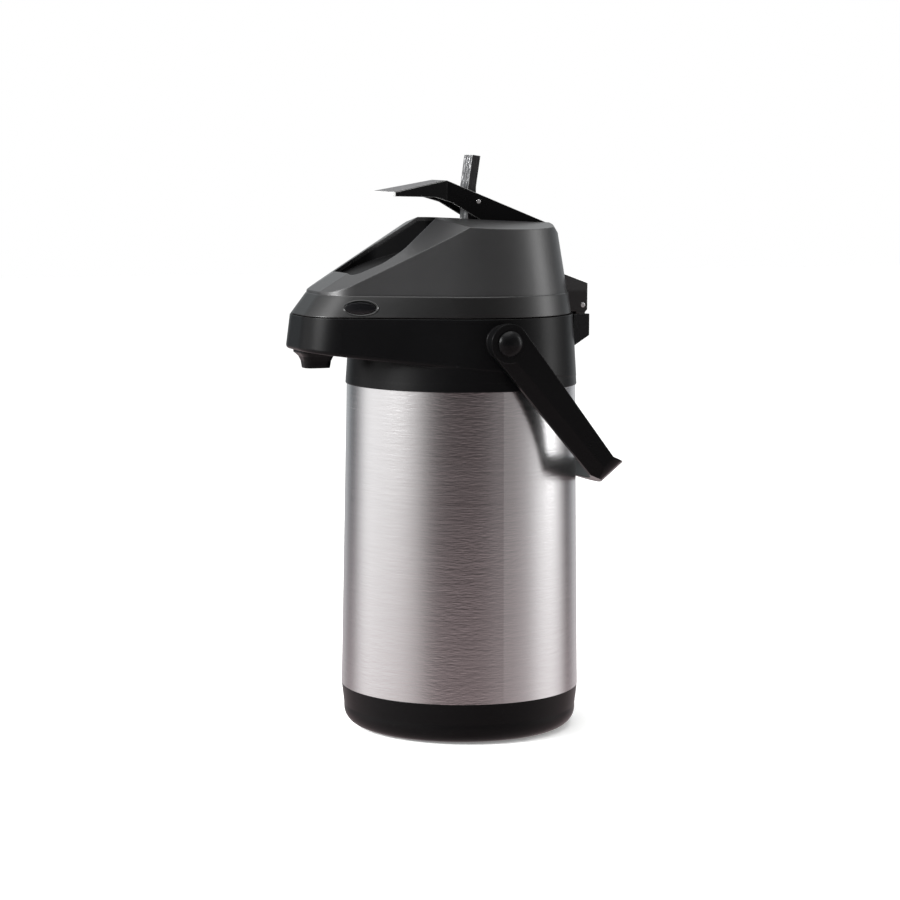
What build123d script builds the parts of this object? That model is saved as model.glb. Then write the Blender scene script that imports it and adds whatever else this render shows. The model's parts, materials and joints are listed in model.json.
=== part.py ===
"""Lever airpot: an insulated jug with a pump in its hinged lid.

Millimetres, +Z up. The origin is the centre of the face that it stands on, the spout points to -Y,
the lid's hinge is at +Y and the handle's pivots are on the X axis's two sides.
"""
import os
from collections import namedtuple
from math import asin, atan2, cos, degrees, hypot, pi, radians, sin, tan

from build123d import *

# ---------------------------------------------------------------- driving dimensions
# Steel body, a slightly tapered tube
BODY_R_BOTTOM = 83.0
BODY_R_TOP = 79.5
STEEL_BOTTOM_Z = 29.0
STEEL_HEIGHT = 211.0
STEEL_WALL = 0.8
STEEL_TUCK = 6.0          # how far the tube goes up inside the collar

# Base
BASE_WALL = 3.0
BASE_CORNER_R = 11.0
BASE_TAPER = 1.8          # how much narrower the base is at its corner than at the steel
SPIGOT_HEIGHT = 7.0
PAD_R = 66.0
PAD_HEIGHT = 2.4
PAD_PROUD = 0.8
BASE_SCREW_PITCH_R = 50.0
BASE_SCREW_COUNT = 3

# Vacuum vessel
VESSEL_WALL = 1.2
VACUUM_GAP = 9.0
VESSEL_FLOOR_Z = 17.0
VESSEL_CORNER_R = 20.0
SHOULDER_HEIGHT = 36.0
NECK_R = 40.0
LIP_WIDTH = 4.5

# Collar, hood and the lid's well
COLLAR_HEIGHT = 48.5
COLLAR_LAP = 1.0          # the collar's outside over the steel's
COLLAR_TAPER = 3.2
COLLAR_WALL = 3.0
HOOD_NOSE_X = 11.0
HOOD_NOSE_Y = -89.5
HOOD_NOSE_R = 32.6
HOOD_NOSE_LEAN = 2.6
HOOD_UNDER_DROP = 23.2    # from the seam down to the hood's underside at its tip
HOOD_UNDER_SLOPE = 0.115
HOOD_EDGE_R = 2.5
HOOD_STEP = 0.15          # the hood's rear over the round collar
WELL_R = 54.0
WELL_WALL = 2.5
WELL_FLOOR_UP = 22.0      # the well's floor over the collar's lower edge
FLOOR_WALL = 2.5

# Stem and outlet
GASKET_HEIGHT = 1.5
FLANGE_R = 50.0
FLANGE_HEIGHT = 11.0
MOUTH_R = 22.0
MOUTH_Y = 9.0
STEM_Y = -28.0
STEM_R = 4.5
STEM_BORE_R = 3.0
STEM_CLEAR = 8.0          # from the vessel's floor to the stem's open end
ELBOW_R = 6.5
NOZZLE_Y = -106.0
NOZZLE_DROP = 12.5
NOZZLE_TIP = (18.0, 15.0)
NOZZLE_ROOT = (27.0, 25.0)
NOZZLE_FLARE = ((0.0, 1.0), (0.25, 0.42), (0.55, 0.14), (1.0, 0.0))
SEAL_WIDTH = 3.2

# Lid cover
LID_GAP = 0.6             # the shadow line between collar and lid
LID_INSET = 1.2
LID_WALL = 2.5
BAND_HEIGHT = 14.6
BAND_STEP = 0.35
LID_DRAFT = 0.17          # how much the lid's rear leans in for each millimetre of height
BASE_PLATE = 2.4
SCREW_HEAD_R = 3.4
ROOF_HEIGHT = 65.9        # the knee of the roof over the seam
KNEE_Y = -26.8
FRONT_SLOPE = 0.607
REAR_SLOPE = 0.043
ROOF_FLAT = 14.0
REAR_FACET = 0.096
FRONT_FACET = 0.21
BEVEL_CENTRE_Y = -20.0
BEVEL_R = 86.0
BEVEL_HEIGHT = 53.5
BEVEL_SLOPE = 1.7
NOSE_X = 10.0
NOSE_R = 30.5
NOSE_Y = -78.0

# Opening that the lever sinks into
SLOT_HALF = 14.0
SLOT_END_Y = 58.5
SCOOP_HALF = 33.0
SCOOP_FRONT_Y = -88.0
TRAY_WALL = 1.8
TRAY_DEPTH = 21.4         # from the knee down to the tray's flat floor
TRAY_RAKE = 0.344

# Hinge of the lid
HINGE_HALF = 20.0
CHEEK = 6.0
HINGE_OUT = 7.1           # the pin's axis behind the lid's rear wall
HINGE_UP = 4.8
HINGE_PIN_R = 1.6
RUNNING = 0.05            # radial clearance of a pin in what turns on it

# Lever and pump rod
PIVOT_Y = 49.0
PIVOT_DROP = 11.4         # the pivot under the roof's knee
LEVER_PIN_R = 2.5
LEVER_HALF = 13.0
LEVER_TIP_HALF = 22.0
LEVER_SHEET = 2.0
BEND_OUT = 65.0           # pivot to the bend, level
BEND_UP = 36.7
TIP_OUT = 107.5
TIP_UP = 28.5
LEVER_END = 8.0
FLANGE_DEPTH = 14.0
GRIP_RECESS = 0.9
GRIP_PROUD = 0.4
GRIP_MARGIN = 1.6
CROSS_OUT = 41.7          # pivot to the cross pin, level
CROSS_UP = 22.3
CROSS_PIN_R = 1.3
ROD_HALF = 7.5
ROD_DEPTH = 6.0
ROD_FRONT_Y = 1.5
ROD_BEND_UP = 10.0        # the rod's bend over the cross pin
ROD_TOP_UP = 31.9
ROD_LEAN = 8.0
ROD_LUG_R = 3.6
ROD_FOOT_DOWN = 49.0

# Pump
PUMP_R = 44.0
PUMP_WALL = 2.5
BELLOWS_R = 40.0
BELLOWS_FOLD = 7.0
BELLOWS_WALL = 1.2
BELLOWS_FOLDS = 5
PLATE_R = 38.0
PLATE_HEIGHT = 4.0
SPRING_R = 20.0
SPRING_WIRE = 1.1
SPRING_TURNS = 5

# Release buttons
BUTTON_HALF_LENGTH = 10.4
BUTTON_HALF_HEIGHT = 3.9
BUTTON_UP = 6.9           # the button's centre over the seam
BUTTON_BACK = 7.6         # behind the nose's corner, along the flank
BUTTON_PROUD = 1.8
BUTTON_DEPTH = 9.0
BUTTON_GAP = 0.4
BUTTON_SPRING_R = 2.6

# Carrying handle
HANDLE_DROP = 15.4        # the handle's axis under the seam
HANDLE_CLEAR = 5.5        # from the collar to the handle's arm
HANDLE_THICK = 6.0
HANDLE_EYE_R = 13.2
HANDLE_END_HALF = 9.9     # half the arm's width at its far end
HANDLE_REACH = 114.5      # pivot to the outside of the end's corners
HANDLE_BOW = 22.5         # how far the end bows out past its corners, round the body
HANDLE_LIFT = 0.52        # rise of the bowed end for each millimetre outwards
HANDLE_CORNER_R = 9.0
HANDLE_RIDGE = 4.6        # the outer face's ridge under the arm's middle, at the pivot
HANDLE_SLANT = 11.0       # degrees that the face under the ridge leans in
HANDLE_REST = 51.0        # degrees under the level
HANDLE_PIN_R = 5.0
KNOB_R = 8.6
KNOB_HEIGHT = 5.2
KNOB_RIM = 1.0
FIT_GAP = 0.3             # between pieces that move past each other

# ---------------------------------------------------------------- heights and places that follow
COLLAR_Z = STEEL_BOTTOM_Z + STEEL_HEIGHT
SEAM_Z = COLLAR_Z + COLLAR_HEIGHT
LID_Z = SEAM_Z + LID_GAP
KNEE_Z = SEAM_Z + ROOF_HEIGHT
BAND_Z = SEAM_Z + BAND_HEIGHT
COLLAR_R = BODY_R_TOP + COLLAR_LAP
COLLAR_TOP_R = COLLAR_R - COLLAR_TAPER
LID_R = COLLAR_TOP_R - LID_INSET
WELL_Z = COLLAR_Z + WELL_FLOOR_UP
LIP_Z = WELL_Z + VESSEL_WALL
FLANGE_Z = LIP_Z + GASKET_HEIGHT
FLANGE_TOP_Z = FLANGE_Z + FLANGE_HEIGHT
CHANNEL_Z = FLANGE_Z + FLANGE_HEIGHT / 2
VESSEL_R = BODY_R_TOP - STEEL_WALL - VACUUM_GAP
HINGE_Y = LID_R + HINGE_OUT
HINGE_Z = SEAM_Z + HINGE_UP
PIVOT_Z = KNEE_Z - PIVOT_DROP
CROSS_Y = PIVOT_Y - CROSS_OUT
CROSS_Z = PIVOT_Z + CROSS_UP
FOOT_Z = CROSS_Z - ROD_FOOT_DOWN
ROD_Y = ROD_FRONT_Y + ROD_DEPTH / 2
PLUG_Z = FLANGE_TOP_Z + FIT_GAP
BASE_Z = LID_Z + 0.4
BASE_TOP_Z = BASE_Z + BASE_PLATE
PUMP_FLOOR_Z = PLUG_Z + 2.5 + 3.0
PLATE_TOP_Z = FOOT_Z - 0.5
PLATE_Z = PLATE_TOP_Z - PLATE_HEIGHT
HANDLE_Z = SEAM_Z - HANDLE_DROP
ARM_X = COLLAR_R - COLLAR_TAPER * 0.66 + HANDLE_CLEAR + FIT_GAP
FAR = 400.0

Section = namedtuple("Section", "z rear_r nose_x nose_y nose_r")
HOOD_LOW = Section(COLLAR_Z, COLLAR_R, HOOD_NOSE_X, HOOD_NOSE_Y - HOOD_NOSE_LEAN, HOOD_NOSE_R + 1)
HOOD_HIGH = Section(SEAM_Z, COLLAR_TOP_R, HOOD_NOSE_X, HOOD_NOSE_Y + HOOD_NOSE_LEAN, HOOD_NOSE_R)
BAND_LOW = Section(LID_Z, LID_R, HOOD_NOSE_X, HOOD_NOSE_Y + HOOD_NOSE_LEAN, HOOD_NOSE_R - 0.6)
BAND_HIGH = Section(BAND_Z, LID_R - BAND_HEIGHT * LID_DRAFT * 0.8, NOSE_X, NOSE_Y, NOSE_R)
UPPER_LOW = Section(BAND_Z, LID_R - BAND_HEIGHT * LID_DRAFT - BAND_STEP, NOSE_X, NOSE_Y, NOSE_R - 0.4)
UPPER_HIGH = Section(KNEE_Z + 2, LID_R - (ROOF_HEIGHT + 2) * LID_DRAFT - BAND_STEP,
                     NOSE_X - 2, NOSE_Y + 5, NOSE_R - 2)


# ---------------------------------------------------------------- helpers
def steel_r(z):
    """Outside radius of the steel body at a height."""
    share = (z - STEEL_BOTTOM_Z) / STEEL_HEIGHT
    return BODY_R_BOTTOM + (BODY_R_TOP - BODY_R_BOTTOM) * share


def turned(corners, rounds=None):
    """Ring or cup turned about Z from (radius, height) corners; rounds gives radii by corner number."""
    face = make_face(Polyline(*[(r, 0, z) for r, z in corners], close=True)).faces()[0]
    for number, radius in (rounds or {}).items():
        corner = Vector(corners[number][0], 0, corners[number][1])
        vertex = face.vertices().sort_by_distance(corner)[0]
        face = face.fillet_2d(radius, [vertex])
    return revolve(face, Axis.Z)


def ring(outer, inner, low, high):
    """Plain ring about Z."""
    return turned([(inner, low), (outer, low), (outer, high), (inner, high)])


def post(radius, low, high, x=0.0, y=0.0):
    """Upright round bar."""
    return Pos(x, y, low) * Cylinder(radius, high - low, align=(Align.CENTER, Align.CENTER, Align.MIN))


def bar_x(radius, start, end, y, z):
    """Round bar along X."""
    bar = Cylinder(radius, end - start, align=(Align.CENTER, Align.CENTER, Align.MIN))
    return Pos(start, y, z) * Rot(0, 90, 0) * bar


def bar_y(radius, start, end, x, z):
    """Round bar along Y."""
    bar = Cylinder(radius, end - start, align=(Align.CENTER, Align.CENTER, Align.MIN))
    return Pos(x, start, z) * Rot(-90, 0, 0) * bar


def side_prism(corners, half_width, x=0.0):
    """Prism across X from a (y, z) outline."""
    face = Plane.YZ * make_face(Polyline(*corners, close=True))
    return Pos(x, 0, 0) * extrude(face, half_width, both=True)


def plan_prism(face, low, high):
    """Prism along Z from a plan face."""
    return extrude(Pos(0, 0, low) * face, high - low, dir=(0, 0, 1))


def plan_outline(section):
    """Plan of the head: a round rear, two straight flanks and a round-cornered nose."""
    rear_r, a, b, nose_r = section.rear_r, section.nose_x, -section.nose_y, section.nose_r
    turn = atan2(a, b) + asin((nose_r - rear_r) / hypot(a, b))
    out = Vector(cos(turn), sin(turn))
    rear = out * rear_r
    flank = Vector(a, -b) + out * nose_r
    half = (turn - pi / 2) / 2
    corner = Vector(a, -b) + Vector(cos(half), sin(half)) * nose_r
    tip = Vector(a, -b - nose_r)
    return make_face([
        ThreePointArc((-rear.X, rear.Y), (0, rear_r), (rear.X, rear.Y)),
        Line((rear.X, rear.Y), (flank.X, flank.Y)),
        ThreePointArc((flank.X, flank.Y), (corner.X, corner.Y), (tip.X, tip.Y)),
        Line((tip.X, tip.Y), (-tip.X, tip.Y)),
        ThreePointArc((-tip.X, tip.Y), (-corner.X, corner.Y), (-flank.X, flank.Y)),
        Line((-flank.X, flank.Y), (-rear.X, rear.Y)),
    ])


def inset(section, amount, z=None):
    """The same plan drawn in by a wall's thickness."""
    return section._replace(z=section.z if z is None else z, rear_r=section.rear_r - amount,
                            nose_r=section.nose_r - amount)


def head_loft(low, high):
    """Straight-walled solid between two plans of the head."""
    return loft([Pos(0, 0, part.z) * plan_outline(part) for part in (low, high)], ruled=True)


def flank_frame(section, z):
    """Point and outward direction on the flank beside the nose, on the +X side."""
    a, b = section.nose_x, -section.nose_y
    turn = atan2(a, b) + asin((section.nose_r - section.rear_r) / hypot(a, b))
    point = Vector(a, -b, z) + Vector(cos(turn), sin(turn), 0) * section.nose_r
    return point, Vector(cos(turn), sin(turn), 0)


def roof_cutters(drop):
    """Blocks over the six planes of the roof, lowered by drop."""
    planes = [((0, REAR_SLOPE), 0.0), ((0, -FRONT_SLOPE), 0.0)]
    for side in (-1, 1):
        planes.append(((side * REAR_FACET, REAR_SLOPE), side * ROOF_FLAT))
        planes.append(((side * FRONT_FACET, -FRONT_SLOPE), side * ROOF_FLAT))
    block = Box(2 * FAR, 2 * FAR, FAR, align=(Align.CENTER, Align.CENTER, Align.MIN))
    return [Plane((x, KNEE_Y, KNEE_Z - drop), z_dir=(lean[0], lean[1], 1)) * block
            for lean, x in planes]


def lid_form(wall):
    """The lid's outer form, drawn in by a wall's thickness."""
    band = head_loft(inset(BAND_LOW, wall), inset(BAND_HIGH, wall))
    upper = head_loft(inset(UPPER_LOW, wall), inset(UPPER_HIGH, wall))
    low, high = SEAM_Z - 5, KNEE_Z + 10
    bevel_z = SEAM_Z + BEVEL_HEIGHT
    bevel = turned([
        (0, low), (BEVEL_R - wall - (low - bevel_z) / BEVEL_SLOPE, low),
        (BEVEL_R - wall - (high - bevel_z) / BEVEL_SLOPE, high), (0, high),
    ])
    form = (band + upper) & (Pos(0, BEVEL_CENTRE_Y, 0) * bevel)
    for cutter in roof_cutters(wall * 1.08):
        form -= cutter
    return form


def opening_face(grow=0.0):
    """Plan of the scoop and slot in the lid."""
    half = [(SLOT_HALF, SLOT_END_Y), (SLOT_HALF, KNEE_Y + 8), (SCOOP_HALF, SCOOP_FRONT_Y + 33),
            (SCOOP_HALF, SCOOP_FRONT_Y + 19), (SCOOP_HALF - 10, SCOOP_FRONT_Y)]
    corners = half + [(-x, y) for x, y in reversed(half)]
    radii = [3, 12, 16, 12, 12]
    outline = FilletPolyline(*corners, radius=radii + radii[::-1], close=True)
    face = make_face(outline)
    return offset(face, grow) if grow else face


def tray_space(lower):
    """Everything over the tray's raked floor, lowered by lower."""
    floor = KNEE_Z - TRAY_DEPTH - lower
    front = floor - (KNEE_Y - SCOOP_FRONT_Y + 20) * TRAY_RAKE
    return side_prism([(FAR, floor), (KNEE_Y, floor), (SCOOP_FRONT_Y - 20, front),
                       (SCOOP_FRONT_Y - 20, floor + FAR), (FAR, floor + FAR)], 3 * SCOOP_HALF)


def lever_outline(thin=0.0):
    """Side outline of the lever, its top drawn down by thin."""
    def at(out, up):
        return (PIVOT_Y - out, PIVOT_Z + up - thin)
    fall = (BEND_UP - 8.0) / (BEND_OUT + LEVER_END)
    depth = FLANGE_DEPTH + 1.2
    return [at(TIP_OUT, TIP_UP), at(BEND_OUT, BEND_UP), at(-LEVER_END, BEND_UP - (BEND_OUT + LEVER_END) * fall),
            (PIVOT_Y + LEVER_END, PIVOT_Z), (PIVOT_Y, PIVOT_Z - LEVER_END),
            (PIVOT_Y - 20, PIVOT_Z - LEVER_END + 6.0),
            (PIVOT_Y - BEND_OUT + 4, PIVOT_Z + BEND_UP - depth),
            (PIVOT_Y - BEND_OUT - 9, PIVOT_Z + BEND_UP - depth + 3.8),
            (PIVOT_Y - TIP_OUT, PIVOT_Z + TIP_UP - 2.4)]


def lever_plan(inset_by):
    """Plan outline of the lever: even at the rear and wider towards its tip."""
    rear_y, bend_y, tip_y = PIVOT_Y + LEVER_END + 1, PIVOT_Y - BEND_OUT, PIVOT_Y - TIP_OUT + inset_by
    half = [(LEVER_HALF - inset_by, rear_y), (LEVER_HALF - inset_by, bend_y),
            (LEVER_TIP_HALF - inset_by, tip_y)]
    return make_face(Polyline(*half, *[(-x, y) for x, y in reversed(half)], close=True))


def coil(radius, wire, low, high, turns):
    """Round-wire compression spring about Z."""
    pitch = (high - low - 2 * wire) / turns
    path = Helix(pitch, high - low - 2 * wire, radius, center=(0, 0, low + wire))
    start = path @ 0
    profile = Plane(start, z_dir=path % 0) * Circle(wire)
    return sweep(profile, path=path, is_frenet=True)


# ---------------------------------------------------------------- base and body
def base_cup():
    rim = steel_r(STEEL_BOTTOM_Z)
    foot = rim - BASE_TAPER
    spigot = steel_r(STEEL_BOTTOM_Z + SPIGOT_HEIGHT) - STEEL_WALL - 0.1
    under = PAD_PROUD
    floor = under + BASE_WALL + 1.0
    inner = foot - BASE_WALL
    cup = turned(
        [(0, under), (foot, under), (foot, STEEL_BOTTOM_Z / 2), (rim, STEEL_BOTTOM_Z), (spigot, STEEL_BOTTOM_Z),
         (spigot, STEEL_BOTTOM_Z + SPIGOT_HEIGHT), (spigot - BASE_WALL, STEEL_BOTTOM_Z + SPIGOT_HEIGHT),
         (inner, STEEL_BOTTOM_Z / 2), (inner, floor), (0, floor)],
        {1: BASE_CORNER_R, 8: BASE_CORNER_R - BASE_WALL})
    cup -= post(PAD_R, 0, PAD_HEIGHT)
    for x, y in base_screw_places():
        cup -= post(2.2, 0, floor + 1, x, y)
        cup -= post(4.4, 0, PAD_HEIGHT + 1.0, x, y)
    return cup


def base_screw_places():
    step = 2 * pi / BASE_SCREW_COUNT
    return [(BASE_SCREW_PITCH_R * sin(i * step), -BASE_SCREW_PITCH_R * cos(i * step))
            for i in range(BASE_SCREW_COUNT)]


def base_pad():
    return post(PAD_R - 0.2, 0, PAD_HEIGHT)


def base_screws():
    head_z = PAD_HEIGHT + 0.1
    floor = PAD_PROUD + BASE_WALL + 1.0
    return Compound([post(4.2, head_z, PAD_HEIGHT + 1.0, x, y) + post(1.8, head_z, floor + 7, x, y)
                     for x, y in base_screw_places()])


def liner_support():
    low = PAD_PROUD + BASE_WALL + 1.0
    web = turned([(0, low), (BASE_SCREW_PITCH_R + 8, low), (BASE_SCREW_PITCH_R + 8, low + 9),
                  (VESSEL_R - VESSEL_CORNER_R, low + 9), (VESSEL_R - VESSEL_CORNER_R, VESSEL_FLOOR_Z),
                  (0, VESSEL_FLOOR_Z)])
    for x, y in base_screw_places():
        web -= post(1.8, low - 1, low + 7.2, x, y)
    return web


def outer_shell():
    low, high = STEEL_BOTTOM_Z, COLLAR_Z + STEEL_TUCK
    return turned([(steel_r(low) - STEEL_WALL, low), (steel_r(low), low),
                   (steel_r(high), high), (steel_r(high) - STEEL_WALL, high)])


def inner_liner():
    shoulder_top = WELL_Z - 12.0
    shoulder_low = shoulder_top - SHOULDER_HEIGHT
    outer = turned([(0, VESSEL_FLOOR_Z), (VESSEL_R, VESSEL_FLOOR_Z), (VESSEL_R, shoulder_low),
                    (NECK_R, shoulder_top), (NECK_R, LIP_Z), (0, LIP_Z)],
                   {1: VESSEL_CORNER_R, 2: 16.0, 3: 10.0})
    wall = VESSEL_WALL
    space = turned([(0, VESSEL_FLOOR_Z + wall), (VESSEL_R - wall, VESSEL_FLOOR_Z + wall),
                    (VESSEL_R - wall, shoulder_low), (NECK_R - wall, shoulder_top - 0.5),
                    (NECK_R - wall, LIP_Z + 1), (0, LIP_Z + 1)],
                   {1: VESSEL_CORNER_R - wall, 2: 16.0 - wall, 3: 10.0 + wall})
    lip = ring(NECK_R + LIP_WIDTH, NECK_R - wall, WELL_Z, LIP_Z)
    return outer + lip - space


# ---------------------------------------------------------------- collar, stem and spout
def hood_under(raise_by=0.0):
    """Block under the hood's raked underside, clear of the round collar."""
    tip_y = HOOD_NOSE_Y - HOOD_NOSE_R
    tip_z = SEAM_Z - HOOD_UNDER_DROP + raise_by
    back_z = tip_z - (BODY_R_BOTTOM - tip_y) * HOOD_UNDER_SLOPE
    front_z = tip_z + 40 * HOOD_UNDER_SLOPE
    return side_prism([(BODY_R_BOTTOM, back_z), (tip_y - 40, front_z), (tip_y - 40, COLLAR_Z - 60),
                       (BODY_R_BOTTOM, COLLAR_Z - 60)], FAR / 2)


def collar_form(wall):
    """Round collar and hood as one form, drawn in by a wall's thickness."""
    step = wall + HOOD_STEP
    cone = turned([(0, COLLAR_Z), (COLLAR_R - step, COLLAR_Z), (COLLAR_TOP_R - step, SEAM_Z), (0, SEAM_Z)])
    hood = head_loft(inset(HOOD_LOW, wall), inset(HOOD_HIGH, wall)) - hood_under(wall)
    under_edges = hood.faces().sort_by(Axis.Z)[0].edges()
    return cone + fillet(under_edges, HOOD_EDGE_R)


def shoulder_collar():
    body = collar_form(0.0)
    hollow = collar_form(COLLAR_WALL) & Pos(0, 0, SEAM_Z - COLLAR_WALL) * Box(
        FAR, FAR, 2 * COLLAR_HEIGHT, align=(Align.CENTER, Align.CENTER, Align.MAX))
    well_wall = post(WELL_R + WELL_WALL, WELL_Z - FLOOR_WALL, SEAM_Z)
    body = body - (hollow - well_wall)
    body -= post(WELL_R, WELL_Z, SEAM_Z + 1)
    body -= post(NECK_R + 0.3, COLLAR_Z - 1, SEAM_Z)
    tuck = COLLAR_Z + STEEL_TUCK
    body -= turned([(0, COLLAR_Z - 1), (steel_r(COLLAR_Z - 1) + 0.1, COLLAR_Z - 1),
                    (steel_r(tuck) + 0.1, tuck), (0, tuck)])
    for side in (-1, 1):
        boss_end = ARM_X - FIT_GAP
        inner_x = COLLAR_TOP_R - COLLAR_WALL
        body += bar_x(HANDLE_EYE_R - 1.5, *sorted((side * inner_x, side * boss_end)), 0, HANDLE_Z)
        body -= bar_x(HANDLE_PIN_R, *sorted((side * (inner_x + 2), side * (boss_end + 1))), 0, HANDLE_Z)
    body -= bar_y(STEM_R + 0.1, -WELL_R - WELL_WALL - 1, -WELL_R + 1, 0, CHANNEL_Z)
    body -= post(STEM_R + 0.1, COLLAR_Z, CHANNEL_Z, 0, NOZZLE_Y)
    body -= Pos(0, NOZZLE_Y, COLLAR_Z) * Box(2 * STEM_R + 0.2, ELBOW_R, CHANNEL_Z - COLLAR_Z,
                                             align=(Align.CENTER, Align.MIN, Align.MIN))
    for x in (-10, 10):
        body -= bar_y(1.6, COLLAR_TOP_R - 8, COLLAR_R + 2, x, bracket_screw_z())
    return body


def bracket_screw_z():
    return SEAM_Z - 12.0


def neck_gasket():
    return ring(NECK_R + LIP_WIDTH, NECK_R - VESSEL_WALL, LIP_Z, FLANGE_Z)


def stem_flange():
    body = post(FLANGE_R, FLANGE_Z, FLANGE_TOP_Z)
    body -= post(MOUTH_R, FLANGE_Z - 1, FLANGE_TOP_Z + 1, 0, MOUTH_Y)
    body -= post(STEM_R, FLANGE_Z - 1, CHANNEL_Z, 0, STEM_Y)
    body -= bar_y(STEM_BORE_R, -FLANGE_R - 1, STEM_Y, 0, CHANNEL_Z)
    return body


def stem_tube():
    low = VESSEL_FLOOR_Z + VESSEL_WALL + STEM_CLEAR
    tube = post(STEM_R, low, CHANNEL_Z - STEM_BORE_R, 0, STEM_Y)
    tube -= post(STEM_BORE_R, low - 1, CHANNEL_Z, 0, STEM_Y)
    notch = Pos(0, STEM_Y, low) * Box(3 * STEM_R, 2.6, 6)
    return tube - notch


def outlet_pipe():
    end_z = SEAM_Z - HOOD_UNDER_DROP - NOZZLE_DROP + 1.0
    start = (0, -FLANGE_R, CHANNEL_Z)
    corner = (0, NOZZLE_Y, CHANNEL_Z)
    path = FilletPolyline(start, corner, (0, NOZZLE_Y, end_z), radius=ELBOW_R)
    outer = sweep(Plane(start, z_dir=(0, -1, 0)) * Circle(STEM_R), path=path)
    inner = sweep(Plane(start, z_dir=(0, -1, 0)) * Circle(STEM_BORE_R), path=path)
    return outer - inner


def outlet_seal():
    low, high = -WELL_R + 0.6, -WELL_R + 0.6 + SEAL_WIDTH
    return bar_y(STEM_R + 2.2, low, high, 0, CHANNEL_Z) - bar_y(STEM_R, low - 1, high + 1, 0, CHANNEL_Z)


def spout_nozzle():
    root_z = SEAM_Z - HOOD_UNDER_DROP
    tip_z = root_z - NOZZLE_DROP
    low_z = root_z - (NOZZLE_Y - HOOD_NOSE_Y + HOOD_NOSE_R) * HOOD_UNDER_SLOPE
    rings = []
    for down, share in NOZZLE_FLARE:
        wide = [tip + (root - tip) * share for tip, root in zip(NOZZLE_TIP, NOZZLE_ROOT)]
        rings.append(Pos(0, NOZZLE_Y, low_z + (tip_z - low_z) * down) * RectangleRounded(wide[1], wide[0], 5))
    block = plan_prism(Pos(0, NOZZLE_Y) * RectangleRounded(NOZZLE_ROOT[1], NOZZLE_ROOT[0], 5), low_z, root_z + 4)
    for upper, lower in zip(rings, rings[1:]):
        block += loft([upper, lower], ruled=True)
    block &= hood_under()
    return block - post(STEM_R, tip_z - 1, root_z + 6, 0, NOZZLE_Y)


# ---------------------------------------------------------------- hinge and handle
def hinge_bracket():
    rear = HINGE_Y + 5.1
    top = SEAM_Z - 1.3
    wall_y = COLLAR_R - 4
    block = side_prism([(wall_y, top), (rear, top), (rear, top - 15), (rear - 11, top - 22),
                        (wall_y, top - 22)], HINGE_HALF)
    tongue_half = HINGE_HALF - CHEEK - FIT_GAP
    knuckle_r = 4.4
    tongue = side_prism([(HINGE_Y - knuckle_r, top - 5), (HINGE_Y + knuckle_r, top - 5),
                         (HINGE_Y + knuckle_r, HINGE_Z), (HINGE_Y - knuckle_r, HINGE_Z)], tongue_half)
    tongue += bar_x(knuckle_r, -tongue_half, tongue_half, HINGE_Y, HINGE_Z)
    block += tongue
    block -= bar_x(HINGE_PIN_R, -FAR / 2, FAR / 2, HINGE_Y, HINGE_Z)
    for x in (-10, 10):
        block -= bar_y(1.6, wall_y - 5, rear - 6, x, bracket_screw_z())
    block -= collar_form(0.0)
    return block.solids().sort_by(SortBy.VOLUME)[-1]


def bracket_screws():
    start, end = COLLAR_TOP_R - COLLAR_WALL - 2.2, COLLAR_R + 1.4
    return Compound([bar_y(1.6, start, end, x, bracket_screw_z()) + bar_y(3.0, start - 2, start, x, bracket_screw_z())
                     for x in (-10, 10)])


def hinge_pin():
    return bar_x(HINGE_PIN_R, -HINGE_HALF - 0.2, HINGE_HALF + 0.2, HINGE_Y, HINGE_Z)


def handle_knob(side):
    start = ARM_X + HANDLE_THICK + FIT_GAP
    root = COLLAR_TOP_R - COLLAR_WALL + 2.2
    brow = start + 0.72 * KNOB_HEIGHT
    knob = turned([(0, root), (HANDLE_PIN_R, root), (HANDLE_PIN_R, start), (KNOB_R, start),
                   (KNOB_R, start + KNOB_RIM), (0.74 * KNOB_R, brow), (0, start + KNOB_HEIGHT)],
                  {5: 0.9 * KNOB_R})
    return Pos(0, 0, HANDLE_Z) * Rot(0, side * 90, 0) * knob


def bail_plan(x, end, corner_r):
    """Plan of the bail's outside or inside: two straight sides and a bowed end."""
    face = make_face([
        Line((-x, -HANDLE_EYE_R), (-x, end)),
        ThreePointArc((-x, end), (0, end + HANDLE_BOW), (x, end)),
        Line((x, end), (x, -HANDLE_EYE_R)),
        Line((x, -HANDLE_EYE_R), (-x, -HANDLE_EYE_R)),
    ]).faces()[0]
    return face.fillet_2d(corner_r, face.vertices().sort_by(Axis.Y)[-2:])


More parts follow.
